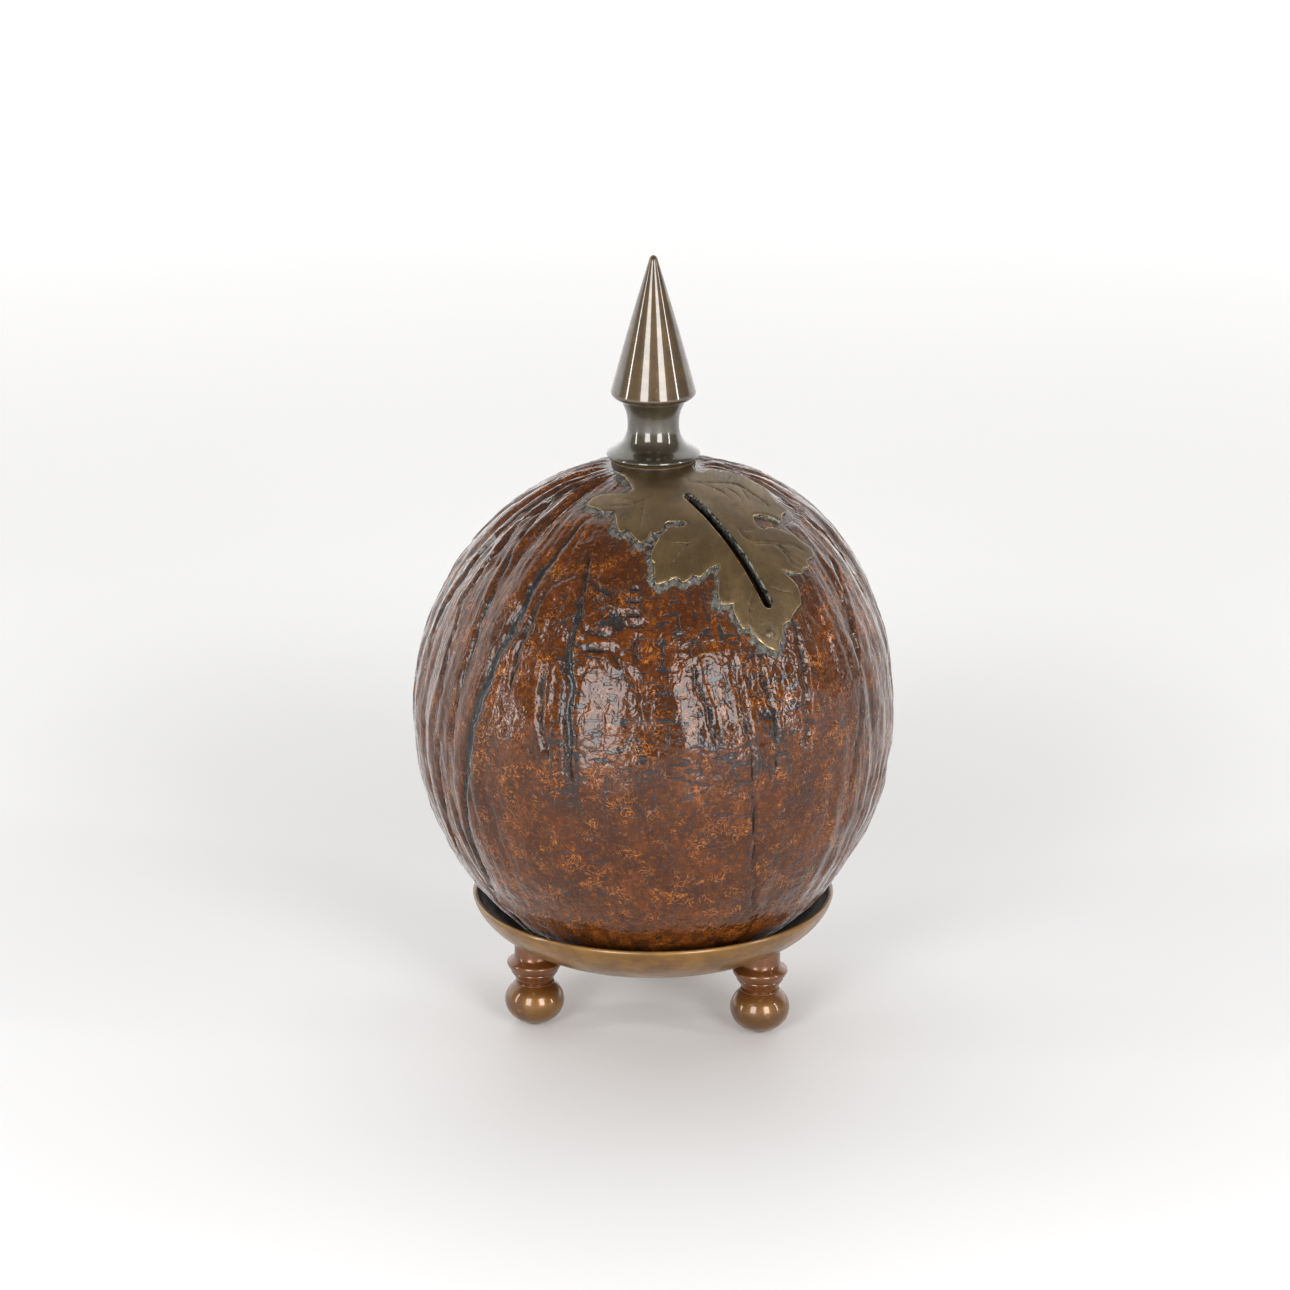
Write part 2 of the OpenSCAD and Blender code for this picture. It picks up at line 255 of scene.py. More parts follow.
def nut_section(elevation, inset=0.0):
    """Radius and height where the nut's normal rises by that angle."""
    which = [elevation >= arc[0] for arc in NUT_ARCS]
    centre_r, centre_z, radius = (np.select(which, part) for part in list(zip(*NUT_ARCS))[1:])
    radius = radius - inset
    return centre_r + radius * np.cos(elevation), centre_z + radius * np.sin(elevation)


def spin(azimuth, r, z):
    """Point at an azimuth turned from -Y towards +X."""
    return np.stack([r * np.sin(azimuth), -r * np.cos(azimuth), z], axis=-1)


def oval(azimuth, elevation):
    """Points of the smooth nut."""
    return spin(azimuth, *nut_section(elevation))


def nut_place(points):
    """Azimuth, elevation of the nut's normal, and height above the smooth nut, at points."""
    r, z = np.hypot(points[:, 0], points[:, 1]), points[:, 2]
    crown, _, belly, _ = NUT_ARCS
    rise = [np.arctan2(z - arc[2], r - arc[1]) for arc in NUT_ARCS]
    above = [np.hypot(r - arc[1], z - arc[2]) - arc[3] for arc in NUT_ARCS]
    upper = z >= NUT_MIDDLE_Z
    which = [upper & (rise[1] > crown[0]), upper, rise[2] > belly[0], ~upper]
    azimuth = np.arctan2(points[:, 0], -points[:, 1])
    return azimuth, np.select(which, rise), np.select(which, above)


def bulge(azimuth, elevation):
    """The nut's lopsided swelling on its upper right."""
    height, middle, wide, from_top, long = 2.0, 100, 35, 42, 22
    turn = (np.degrees(azimuth) - middle + 180) % 360 - 180
    tilt = 90 - np.degrees(elevation) - from_top
    return height * np.exp(-((turn / wide) ** 2) / 2 - (tilt / long) ** 2 / 2)


LEAF_FRAME = (
    Matrix.Translation((0, 0, CROWN_Z))
    @ Matrix.Rotation(math.radians(LEAF_TURN), 4, "Z")
    @ Matrix.Rotation(math.radians(LEAF_LEAN), 4, "X")
    @ Matrix.Rotation(math.radians(LEAF_ROLL), 4, "Z")
)
TO_WORLD = np.array(LEAF_FRAME)
TO_LEAF = np.array(LEAF_FRAME.inverted())


def moved(points, matrix):
    """Points taken through a 4 by 4 matrix."""
    return points @ matrix[:3, :3].T + matrix[:3, 3]


def on_nut(flat, height):
    """Puts flat points of the leaf's drawing on the nut, at a height above its surface."""
    local = np.column_stack([flat, np.sqrt(CROWN_R**2 - (flat**2).sum(1))])
    for _ in range(8):
        local[:, 2] -= nut_place(moved(local, TO_WORLD))[2]
    world = moved(local, TO_WORLD)
    azimuth, elevation, _ = nut_place(world)
    lift = height + bulge(azimuth, elevation)
    return world + spin(azimuth, np.cos(elevation), np.sin(elevation)) * lift[:, None]


OUTLINE = smooth_closed(LEAF_OUTLINE, 0.5)


def leaf_distance(points):
    """Distance from the leaf's outline over the nut, below 0 under the leaf, at most far."""
    far = 30.0
    local = moved(points, TO_LEAF)
    near = (local[:, 2] > 20) & (np.abs(local[:, 0]) < 32) & (np.abs(local[:, 1]) < 46)
    distance = np.full(len(points), far)
    distance[near] = signed_distance(local[near, :2], OUTLINE)
    return distance


def stray_cracks():
    """Made-up lengthwise cracks for the sides and back."""
    draws = np.random.default_rng(SEED + 1)
    cracks = []
    for azimuth in np.arange(84, 300, 9):
        turn = azimuth + draws.uniform(-4, 4)
        top = draws.uniform(5, 70)
        length = draws.uniform(20, 70)
        points = [(turn + draws.uniform(-1.5, 1.5), top - length * i / 6) for i in range(7)]
        cracks.append((draws.uniform(0.12, 0.45), points))
    return cracks


def crack_distance(azimuth, elevation):
    """Distance from the nearest crack's edge in mm, below 0 inside a crack, at most reach."""
    reach = 9
    points = oval(azimuth, elevation)
    wander = np.stack([noise.at(points / 5.0 + shift) for shift in (3.1, 41.7, 77.9)], axis=1)
    points = points + 1.1 * wander
    best = np.full(len(points), float(reach))
    for half, line in list(CRACKS) + stray_cracks():
        corners = oval(*np.radians(np.array(line, float)).T)
        low, high = corners.min(0) - reach, corners.max(0) + reach
        near = np.all((points > low) & (points < high), axis=1)
        distance, along = polyline_distance(points[near], corners)
        taper = np.sqrt(np.clip(np.sin(np.pi * np.clip(along, 0.02, 0.98)), 0, 1))
        best[near] = np.minimum(best[near], distance - (half + 0.06) * taper)
    return best


def side_share(azimuth):
    """How strongly the lengthwise ridges stand: little in front, fully at the sides and back."""
    turn = np.abs((np.degrees(azimuth) - 6 + 180) % 360 - 180)
    return soft_step(28, 66, turn)


def lengthwise(around, elevation, width, length):
    """Noise in bands of about that width and length in mm, which run from top to bottom."""
    turns = SKIN_R / width
    return noise.at(np.column_stack([np.sin(around) * turns, np.cos(around) * turns,
                                     elevation * SKIN_RISE / length + width]))


def nut_relief(azimuth, elevation):
    """How far the skin stands above the smooth oval, in mm, before the leaf is let in."""
    flat = oval(azimuth, elevation)
    around = azimuth + np.radians(5.0 * noise.at(flat / 40.0 + 5.0))
    ridges = np.zeros(len(azimuth))
    for width, length, height in ((8.0, 95.0, 1.0), (4.2, 60.0, 0.6), (2.3, 36.0, 0.34)):
        ridges += height * lengthwise(around, elevation, width, length)
    side = side_share(azimuth)
    lumps = 0.55 * noise.at(flat / 9.0 + 11.0) + 0.24 * noise.at(flat / 3.8 + 23.0)
    knobs = 0.12 * noise.at(flat / 2.1 + 31.0)
    return ridges * (0.45 + 0.95 * side) + lumps + knobs * (1 - 0.5 * side)


def creases(azimuth, elevation):
    """1 along the fine lengthwise folds in the skin, 0 between them."""
    flat = oval(azimuth, elevation)
    around = azimuth + 0.12 * noise.at(flat / 36.0 + 61.0)
    total = np.zeros(len(azimuth))
    for width, length, share in ((9.0, 110.0, 1.0), (5.0, 70.0, 0.7)):
        wave = np.abs(lengthwise(around, elevation, width, length))
        fold = 1 - soft_step(0.0, 0.085, wave)
        present = soft_step(-0.12, 0.12, noise.at(flat / 18.0 + width))
        total = np.maximum(total, share * fold * present)
    return total * (0.15 + 0.85 * side_share(azimuth))


def crack_relief(distance):
    """A crack's groove with a low lip along it, in mm."""
    groove = 1 - soft_step(-0.25, 0.75, distance)
    lip = np.exp(-(((distance - 1.1) / 0.6) ** 2))
    return -0.75 * groove + 0.16 * lip


# ---- meshes


def add_object(name, data):
    made = bpy.data.objects.new(name, data)
    bpy.context.scene.collection.objects.link(made)
    return made


def add_mesh(name, points, faces):
    """Makes an object from points in mm."""
    mesh = bpy.data.meshes.new(name)
    mesh.from_pydata((np.asarray(points) * MM).tolist(), [], faces)
    return add_object(name, mesh)


def make_piece(name, points, faces, material, body, node, sharp=None):
    """Makes a mesh, and settles what it rides on and which node it stands for."""
    piece = add_mesh(name, points, faces)
    piece.data.validate()
    piece.data.shade_smooth()
    if sharp:
        piece.data.set_sharp_from_angle(angle=math.radians(sharp))
    piece.data.materials.append(material)
    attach(piece, body)
    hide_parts(node)
    return piece


def make_plate(name, top, bottom, faces, marks, material, node, sharp=None):
    """Makes a closed piece of the shell from two sheets of the same faces and a wall.

    marks gives each attribute's values for the top's points and for the bottom's.
    """
    count = len(top)
    sides = {(a, b) for f in faces for a, b in zip(f, f[1:] + f[:1])}
    wall = [(b, a, a + count, b + count) for a, b in sorted(sides) if (b, a) not in sides]
    under = [tuple(i + count for i in reversed(f)) for f in faces]
    every = faces + under + wall
    used = np.zeros(2 * count, bool)
    used[[i for f in every for i in f]] = True
    number = np.cumsum(used) - 1
    every = [tuple(int(number[i]) for i in f) for f in every]
    piece = make_piece(name, np.vstack([top, bottom])[used], every, material, "shell",
                       node, sharp)
    mark(piece, **{key: np.concatenate(values)[used] for key, values in marks.items()})


def ring_faces(rings, columns, closed):
    """Quads that join rings of points, the last to the first if closed."""
    faces = []
    for i in range(rings if closed else rings - 1):
        a, b = i * columns, (i + 1) % rings * columns
        for j in range(columns):
            k = (j + 1) % columns
            faces.append((a + j, b + j, b + k, a + k))
    return faces


def lathe(profile, columns, centre=(0.0, 0.0)):
    """Points and faces of a profile turned about a vertical axis. Ends on the axis close up."""
    axis = 1e-6
    angles = [2 * math.pi * j / columns for j in range(columns)]
    points, rings, faces = [], [], []
    for r, z in profile:
        across = 1 if r < axis else columns
        rings.append([len(points) + j % across for j in range(columns)])
        points += [(centre[0] + r * math.sin(a), centre[1] - r * math.cos(a), z)
                   for a in angles[:across]]
    pairs = list(zip(rings, rings[1:]))
    if profile[0][0] > axis and profile[-1][0] > axis:
        pairs.append((rings[-1], rings[0]))
    for low, high in pairs:
        for j in range(columns):
            k = (j + 1) % columns
            faces.append(tuple(dict.fromkeys((low[j], low[k], high[k], high[j]))))
    return np.array(points), faces


def turned(name, profile, columns, material, body, node, sharp):
    """Makes a piece from its profile, turned about the object's axis."""
    points, faces = lathe(profile, columns)
    return make_piece(name, points, faces, MATERIALS[material], body, node, sharp)


def mark(piece, **marks):
    """Writes the values that the piece's material reads at each point."""
    for name, values in marks.items():
        kind, key = ("FLOAT_VECTOR", "vector") if np.ndim(values) == 2 else ("FLOAT", "value")
        attribute = piece.data.attributes.new(name, kind, "POINT")
        attribute.data.foreach_set(key, np.ascontiguousarray(values, np.float32).ravel())


def stadium(length, width):
    """Long slot with round ends; its straight sides carry points, so they can follow the nut."""
    half = length / 2 - width / 2
    top = np.radians(np.linspace(0, 180, 14))
    arc = np.column_stack([np.cos(top), np.sin(top)]) * width / 2
    down = np.linspace(half, -half, 62)[1:-1]
    side = np.column_stack([np.full(len(down), -width / 2), down])
    return np.vstack([arc + (0, half), side, -arc - (0, half), -side])


# ---- materials


class Nodes:
    """A node tree, with short names for the nodes that it uses."""

    def __init__(self, tree):
        self.tree = tree
        tree.nodes.clear()

    def add(self, kind, inputs=(), **settings):
        node = self.tree.nodes.new(kind)
        for key, value in settings.items():
            setattr(node, key, value)
        for key, value in dict(inputs).items():
            self.feed(node.inputs[key], value)
        return node

    def feed(self, socket, value):
        if isinstance(value, bpy.types.NodeSocket):
            self.tree.links.new(value, socket)
        else:
            socket.default_value = value

    def place(self):
        """Position in mm, in the object's own space."""
        node = self.add("ShaderNodeTexCoord")
        return self.scale(node.outputs["Object"], 1000.0)

    def scale(self, vector, by):
        by = (by, by, by) if isinstance(by, (int, float)) else by
        node = self.add("ShaderNodeVectorMath", {0: vector, 1: by}, operation="MULTIPLY")
        return node.outputs[0]

    def attribute(self, name, output="Fac"):
        return self.add("ShaderNodeAttribute", attribute_name=name).outputs[output]

    def noise(self, vector, size=1.0, detail=2.0, rough=0.5, twist=0.0, shift=0.0):
        shifted = self.add("ShaderNodeVectorMath", {0: vector, 1: (shift, shift, shift)},
                           operation="ADD").outputs[0]
        node = self.add("ShaderNodeTexNoise", {
            "Vector": shifted, "Scale": 1.0 / size, "Detail": detail, "Roughness": rough,
            "Distortion": twist})
        return node.outputs["Fac"]

    def math(self, operation, a, b=0.0):
        return self.add("ShaderNodeMath", {0: a, 1: b}, operation=operation).outputs[0]

    def times(self, a, b):
        return self.math("MULTIPLY", a, b)

    def plus(self, a, b):
        return self.math("ADD", a, b)

    def minus(self, a, b):
        return self.math("SUBTRACT", a, b)

    def step(self, value, low, high, to_low=0.0, to_high=1.0):
        node = self.add("ShaderNodeMapRange", {
            "Value": value, "From Min": low, "From Max": high, "To Min": to_low,
            "To Max": to_high}, interpolation_type="SMOOTHSTEP")
        return node.outputs[0]

    def mix(self, share, a, b):
        node = self.add("ShaderNodeMix", {0: share, 6: colour(a), 7: colour(b)},
                        data_type="RGBA")
        return node.outputs[2]

    def over(self, tint, share, strength, paint):
        """The tint with paint over it, as strong as share times strength."""
        return self.mix(self.times(share, strength), tint, paint)

    def bump(self, height, depth_mm, normal=None):
        inputs = {"Height": height, "Distance": depth_mm * MM, "Strength": 1.0}
        if normal is not None:
            inputs["Normal"] = normal
        return self.add("ShaderNodeBump", inputs).outputs[0]

    def edges(self):
        """1 on sharp outer edges, 0 elsewhere."""
        return self.step(self.add("ShaderNodeNewGeometry").outputs["Pointiness"], 0.52, 0.6)


class Shader(Nodes):
    """The node tree of one material, round one Principled surface."""

    def __init__(self, name):
        self.material = bpy.data.materials.new(name)
        self.material.use_nodes = True
        super().__init__(self.material.node_tree)
        self.surface = self.add("ShaderNodeBsdfPrincipled")
        self.add("ShaderNodeOutputMaterial", {0: self.surface.outputs[0]})

    def set(self, **inputs):
        """Sets the surface's sockets, with _ for the spaces in their names."""
        for key, value in inputs.items():
            self.feed(self.surface.inputs[key.replace("_", " ")], value)
        return self.material


def linear(part):
    part = part / 255
    return part / 12.92 if part <= 0.04045 else ((part + 0.055) / 1.055) ** 2.4


def colour(value):
    """A socket or linear RGBA as it is, or screen RGB as the colour that a socket takes."""
    if isinstance(value, bpy.types.NodeSocket) or len(value) == 4:
        return value
    return tuple(linear(part) for part in value) + (1.0,)


def nut_material():
    """Varnished skin: brown clouds, streaks, curls, pits and dashes, near-black in the cracks,
    painted shade beside the cracks and along the folds, and painted shade with dirt near the leaf
    and collar.
    """
    m = Shader("varnished_nut")
    place, skin = m.place(), m.attribute("skin", "Vector")
    side, crack = m.attribute("side"), m.attribute("crack")
    grime, front = m.attribute("grime"), m.attribute("front")
    inner = m.attribute("inner")

    broad = m.step(m.noise(place, 13.0, 4.0, 0.6), 0.36, 0.62)
    streaks = m.noise(m.scale(skin, (0.5, 0.5, 0.10)), 1.0, 4.0, 0.6)
    mottle = m.step(m.noise(place, 2.2, 4.0, 0.66, 1.0, 9.0), 0.44, 0.58)
    blots = m.step(m.noise(place, 6.5, 5.0, 0.7, 0.3, 91.0), 0.46, 0.60)
    tint = m.mix(broad, (64, 32, 13), (94, 48, 14))
    tint = m.over(tint, m.step(streaks, 0.44, 0.60), 0.5, (74, 40, 15))
    tint = m.over(tint, blots, 0.5, (58, 32, 16))
    tint = m.over(tint, mottle, 0.55, (50, 27, 15))
    glow = m.step(m.noise(place, 1.2, 3.0, 0.6, 1.2, 31.0), 0.55, 0.64)
    tint = m.over(tint, glow, 0.38, (138, 78, 28))

    curl = m.noise(place, 2.6, 1.0, 0.4, 2.2, 57.0)
    curl = m.math("ABSOLUTE", m.minus(curl, 0.5))
    curl_mask = m.step(m.noise(place, 5.0, 2.0, 0.5, 0.0, 71.0), 0.50, 0.60)
    curls = m.times(m.step(curl, 0.045, 0.0), curl_mask)
    tint = m.over(tint, curls, 0.6, (184, 112, 48))

    pits = m.step(m.noise(place, 1.5, 2.0, 0.6, 0.3, 43.0), 0.64, 0.71)
    tint = m.over(tint, pits, 0.75, (36, 26, 22))
    rim = m.attribute("rim")
    patch = m.noise(m.scale(skin, (0.30, 0.30, 0.12)), 1.0, 2.0, 0.4, 0.0, 29.0)
    patch = m.step(patch, 0.54, 0.60)
    tint = m.over(tint, rim, 0.4, (124, 68, 24))
    tint = m.over(tint, m.times(rim, patch), 0.55, (40, 28, 22))

    dashes_across = m.noise(m.scale(skin, (0.20, 0.20, 0.72)), 1.0, 2.0, 0.45, 0.2, 3.0)
    dashes_down = m.noise(m.scale(skin, (0.62, 0.62, 0.14)), 1.0, 2.0, 0.45, 0.2, 13.0)
    dashes = m.math("MAXIMUM", m.step(dashes_across, 0.585, 0.62),
                    m.step(dashes_down, 0.62, 0.66))
    dashes = m.times(dashes, front)
    tint = m.over(tint, dashes, 0.9, (40, 38, 40))

    ragged = m.plus(crack, m.minus(m.noise(place, 1.1, 4.0, 0.7), 0.5))
    # The cracks' insides are painted near-black.
    crack_inside = m.step(ragged, 0.10, -0.12)
    # Painted shade: darker beside the cracks and along the folds.
    shade = m.math("MAXIMUM", m.step(crack, 1.3, 0.0), m.attribute("crease"))
    tint = m.over(tint, shade, 0.6, (46, 32, 26))
    tint = m.mix(crack_inside, tint, m.mix(m.noise(place, 1.2), (24, 25, 27), (46, 47, 48)))
    # Painted shade and dirt: darker patches near the leaf's edge and round the collar.
    dirt_and_shade_spots = m.times(grime, m.step(m.noise(place, 2.0, 3.0, 0.6, 0.0, 5.0), 0.3, 0.7))
    tint = m.mix(dirt_and_shade_spots, tint, (58, 48, 42))
    tint = m.mix(inner, tint, m.mix(streaks, (92, 62, 38), (58, 38, 24)))

    fine = m.noise(place, 0.9, 3.0, 0.6, 0.0, 7.0)
    woven = m.noise(m.scale(skin, (0.75, 0.75, 0.16)), 1.0, 3.0, 0.55, 0.0, 19.0)
    lumpy = m.noise(place, 2.4, 2.0, 0.5, 0.5, 27.0)
    height = m.plus(m.times(lumpy, 0.55), m.times(fine, 0.06))
    height = m.plus(height, m.times(woven, m.plus(0.12, side)))
    height = m.minus(height, m.times(pits, 0.10))
    height = m.minus(height, m.times(dashes, 0.30))
    height = m.minus(height, m.times(crack_inside, 0.5))
    varnish = m.minus(lumpy, m.times(m.math("MAXIMUM", dashes, crack_inside), 0.3))
    gloss = m.plus(m.step(m.noise(place, 4.0, 3.0, 0.6, 0.0, 83.0), 0.3, 0.7, 0.10, 0.20),
                   m.times(m.math("MAXIMUM", crack_inside, inner), 0.25))
    return m.set(Base_Color=tint, Roughness=gloss, Normal=m.bump(height, 0.65),
                 Coat_Weight=0.5, Coat_Roughness=0.07, Coat_IOR=1.5,
                 Coat_Normal=m.bump(varnish, 0.32), Specular_IOR_Level=0.12,
                 Sheen_Weight=m.times(side, 0.8), Sheen_Roughness=0.28)


def leaf_material():
    """Brown patina on brass, bright at the edges with wear and a painted highlight, with dark
    engraved lines, and walls painted near-black as shade.
    """
    m = Shader("leaf_patina")
    place, edge, vein = m.place(), m.attribute("edge"), m.attribute("vein")
    cloud = m.step(m.noise(place, 9.0, 4.0, 0.6), 0.35, 0.65)
    tint = m.mix(cloud, (84, 67, 43), (104, 85, 55))
    speck = m.step(m.noise(place, 1.1, 4.0, 0.7, 0.0, 4.0), 0.56, 0.68)
    tint = m.over(tint, speck, 0.5, (84, 74, 50))
    dark = m.step(m.noise(place, 0.7, 2.0, 0.5, 0.0, 15.0), 0.66, 0.74)
    tint = m.over(tint, dark, 0.6, (52, 46, 34))
    tint = m.over(tint, m.step(vein, 0.22, 0.04), 0.7, (50, 42, 31))
    # Painted highlight and wear: a bright line along the leaf's edges.
    ragged = m.times(m.minus(m.noise(place, 2.5, 3.0, 0.6), 0.5), 0.8)
    worn = m.step(m.plus(edge, ragged), 0.20, 0.02)
    tint = m.mix(worn, tint, (190, 160, 108))
    # Painted shade: the leaf's walls and underside are near-black, with pale crust spots.
    wall = m.step(m.attribute("wall"), 0.06, 0.20)
    crust = m.step(m.noise(place, 1.8, 3.0, 0.7), 0.42, 0.58)
    tint = m.mix(wall, tint, m.mix(crust, (20, 20, 18), (150, 154, 138)))
    scratches = m.noise(m.scale(place, (1.2, 0.16, 0.5)), 1.0, 4.0, 0.7, 0.0, 2.0)
    gloss = m.step(scratches, 0.35, 0.65, 0.38, 0.52)
    height = m.plus(m.times(scratches, 0.4), m.noise(place, 0.8, 3.0, 0.6))
    metal = m.times(m.step(worn, 0.0, 1.0, 0.6, 1.0), m.minus(1.0, wall))
    engraved = m.bump(m.step(vein, 0.0, 0.34), 0.12)
    return m.set(Base_Color=tint, Metallic=metal, Roughness=gloss, Coat_Weight=0.15,
                 Coat_Roughness=0.3, Normal=m.bump(height, 0.08, engraved))


def mastic_material():
    """Crumbly grey putty, which darkens as it thins out."""
    m = Shader("mastic_crumbly")
    place, spread = m.place(), m.attribute("spread")
    lumps = m.noise(place, 1.5, 4.0, 0.75)
    tint = m.mix(m.step(lumps, 0.38, 0.60), (36, 33, 30), (92, 88, 80))
    pale = m.step(m.noise(place, 0.7, 3.0, 0.6, 0.0, 8.0), 0.58, 0.68)
    tint = m.over(tint, pale, 0.45, (170, 168, 158))
    tint = m.mix(m.step(spread, 1.0, 3.2), tint, (46, 40, 37))
    return m.set(Base_Color=tint, Roughness=0.62, Normal=m.bump(lumps, 0.55),
                 Specular_IOR_Level=0.4)


def brass_material(name, light, dark, gloss, blotch=0.3, worn=0.4, metal=0.55,
                   edge_tint=(206, 176, 126), dented=0.03, lacquer=1.0):
    """Aged, lacquered brass from a lathe: patina clouds, tool lines, specks, bright edges that are
    partly wear and partly a painted highlight, and dirt with painted shade where marked.
    """
    m = Shader(name)
    place = m.place()
    cloud = m.noise(place, 8.0, 5.0, 0.62)
    tint = m.mix(m.step(cloud, 0.36, 0.64), light, dark)
    film = m.noise(m.scale(place, (0.12, 0.12, 0.5)), 1.0, 4.0, 0.7, 0.0, 44.0)
    tint = m.mix(m.step(film, 0.40, 0.66, 0.0, 0.35), tint, tuple(part * 0.8 for part in dark))
    speck = m.step(m.noise(place, 0.9, 3.0, 0.6, 0.0, 12.0), 0.64, 0.72)
    tint = m.over(tint, speck, blotch, tuple(part * 0.45 for part in dark))
    bright = m.step(m.noise(place, 2.0, 5.0, 0.7, 0.0, 33.0), 0.62, 0.74)
    tint = m.over(tint, bright, blotch, edge_tint)
    # Painted highlight and wear: sharp edges are tinted bright.
    tint = m.over(tint, m.edges(), worn, edge_tint)
    tint = m.over(tint, m.attribute("ruddy"), 0.8, (104, 55, 16))
    # Painted shade and dirt: darkened where marked, as inside the dish under the nut.
    tint = m.mix(m.attribute("grime"), tint, (38, 32, 27))
    lines = m.noise(m.scale(place, (0.02, 0.02, 3.2)), 1.0, 4.0, 0.7)
    scratches = m.noise(m.scale(place, (0.5, 0.5, 2.4)), 1.0, 3.0, 0.7, 0.6, 6.0)
    height = m.plus(lines, m.times(scratches, 0.5))
    dents = m.bump(m.noise(place, 4.5, 1.0, 0.5, 0.0, 21.0), dented)
    return m.set(Base_Color=tint, Metallic=metal, Roughness=m.step(film, 0.35, 0.65, 0.34, 0.48),
                 Normal=m.bump(height, 0.012, dents), Coat_Weight=lacquer,
                 Coat_Roughness=gloss, Coat_IOR=1.65, Coat_Normal=dents)


def leather_material():
    m = Shader("leather_dark")
    place = m.place()
    grain = m.add("ShaderNodeTexVoronoi", {"Vector": place, "Scale": 1.4}).outputs["Distance"]
    tint = m.mix(m.noise(place, 3.0, 3.0, 0.6), (58, 38, 26), (92, 62, 42))
    return m.set(Base_Color=tint, Roughness=0.7, Normal=m.bump(grain, 0.15))


def steel_material():
    m = Shader("rod_steel")
    place = m.place()
    rust = m.step(m.noise(place, 2.4, 5.0, 0.7), 0.52, 0.68)
    tint = m.mix(rust, (158, 154, 148), (96, 66, 46))
    return m.set(Base_Color=tint, Metallic=m.step(rust, 0.0, 1.0, 1.0, 0.45),
                 Roughness=m.step(rust, 0.0, 1.0, 0.32, 0.65),
                 Normal=m.bump(m.noise(m.scale(place, (0.4, 0.4, 3.0)), 1.0, 3.0, 0.7), 0.03))


def floor_material():
    """Pale paper with a painted glow: it glows more away from the object, and not near it."""
    m = Shader("floor_pale")
    place = m.place()
    reach = m.add("ShaderNodeVectorMath", {0: place}, operation="LENGTH").outputs["Value"]
    # Painted light: the floor glows, not at all within 120 mm of the object and more farther out.
    near = m.step(reach, 120.0, 420.0, 0.0, 0.19)
    glow = m.plus(near, m.step(reach, 400.0, 1500.0, 0.0, 0.42))
    cloud = m.noise(place, 260.0, 2.0, 0.5)
    return m.set(Base_Color=m.mix(cloud, (229, 229, 230), (232, 232, 232)), Roughness=0.55,
                 Specular_IOR_Level=0.25, Emission_Color=(1.0, 1.0, 1.0, 1.0),
                 Emission_Strength=glow)


# ---- the nut


def build_nut():
    """The hollow nut: its skin from the collar down, its flat bottom, and its inside."""
    columns, outer, inner = 400, 182, 28
    top = math.acos(COLLAR_R / CROWN_R)
    bottom_r = math.sqrt(HEEL_R**2 - (HEEL_Z - NUT_BOTTOM_Z) ** 2)
    bottom = -math.acos(bottom_r / HEEL_R)
    inner_top = math.acos(TUBE_R / (CROWN_R - NUT_WALL))
    inner_bottom = -math.acos(OUTLET_R / (HEEL_R - NUT_WALL))
    rise = np.linspace(top, bottom, outer)
    azimuth = np.arange(columns) * 2 * math.pi / columns
    turn, elevation = np.tile(azimuth, outer), np.repeat(rise, columns)
    r, z = nut_section(elevation)
    skin = spin(turn, r, z)
    clear = soft_step(0.5, 5.0, leaf_distance(skin))
    clear = clear * soft_step(COLLAR_R + 0.3, 15.0, r) * soft_step(NUT_BOTTOM_Z, 24.0, z)
    lift = nut_relief(turn, elevation) - 0.55 * creases(turn, elevation)
    lift = (lift + crack_relief(crack_distance(turn, elevation))) * clear
    lift += bulge(turn, elevation) * soft_step(COLLAR_R, 16.0, r)
    skin = skin + spin(turn, np.cos(elevation), np.sin(elevation)) * lift[:, None]
    skin[:columns, 2] = np.minimum(skin[:columns, 2], NUT_TOP_Z)

    fall = np.linspace(inner_bottom, inner_top, inner)
    inner_r, inner_z = nut_section(fall, NUT_WALL)
    rest_r = [22.3, OUTLET_R, *inner_r, TUBE_R, 7.7]
    rest_z = [NUT_BOTTOM_Z, NUT_BOTTOM_Z, *inner_z, NUT_TOP_Z, NUT_TOP_Z]
    rest = np.vstack([spin(azimuth, np.full(columns, a), np.full(columns, b))
                      for a, b in zip(rest_r, rest_z)])
    faces = ring_faces(outer + len(rest_r), columns, closed=True)
    piece = make_piece("nut_skin", np.vstack([skin, rest]), faces, nut_material(), "shell",
                       "shell")
    cut_slot(piece)
    mark_nut(piece)
    piece.data.shade_smooth()
    piece.data.set_sharp_from_angle(angle=math.radians(50))


def cut_slot(piece):
    """Cuts the coin slot through the wall of the nut."""
    outline = stadium(SLOT_L + 1, NUT_SLOT_W)
    count = len(outline)
    local = np.vstack([np.column_stack([outline, np.full(count, z)]) for z in (35.0, 75.0)])
    faces = [tuple(range(count))[::-1], tuple(range(count, 2 * count))]
    faces += [(i, (i + 1) % count, count + (i + 1) % count, count + i) for i in range(count)]
    cutter = add_mesh("slot_cutter", moved(local, TO_WORLD), faces)
    modifier = piece.modifiers.new("slot", "BOOLEAN")
    modifier.operation, modifier.solver = "DIFFERENCE", "EXACT"
    modifier.object = cutter
    graph = bpy.context.evaluated_depsgraph_get()
    cut = bpy.data.meshes.new_from_object(piece.evaluated_get(graph))
    piece.modifiers.clear()
    piece.data = cut
    bpy.data.objects.remove(cutter)


